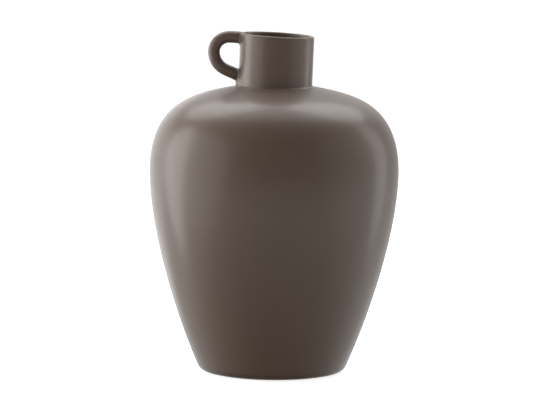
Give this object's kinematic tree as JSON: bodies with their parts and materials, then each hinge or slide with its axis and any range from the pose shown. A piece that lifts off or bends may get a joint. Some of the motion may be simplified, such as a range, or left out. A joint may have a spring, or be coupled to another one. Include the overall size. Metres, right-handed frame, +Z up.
{
  "type": "jug vase",
  "caption": "Tall glazed stoneware jug vase: ovoid hollow body on a bare clay foot ring, short wide neck and a small rolled ring handle between rim and neck root.",
  "frame": {"origin": "on the body's axis at the standing plane, which is the middle of the bottom of the bounding box", "axes": "+Z up along the body's axis; -X towards the handle; the picture looks along +Y"},
  "size_m": [0.244, 0.244, 0.3344],
  "materials": {
    "glaze": "satin-matt dark grey-brown glaze, even in colour, with a very fine orange-peel surface",
    "bare_clay": "unglazed tan stoneware, sponged smooth, dry matt"
  },
  "bodies": {
    "root": {"vessel_body": "glaze", "neck_collar": "glaze", "neck_slip_joint": "glaze", "ring_handle": "glaze", "handle_slip_joint_top": "glaze", "handle_slip_joint_bottom": "glaze", "foot_ring": "bare_clay"}
  },
  "joints": []
}
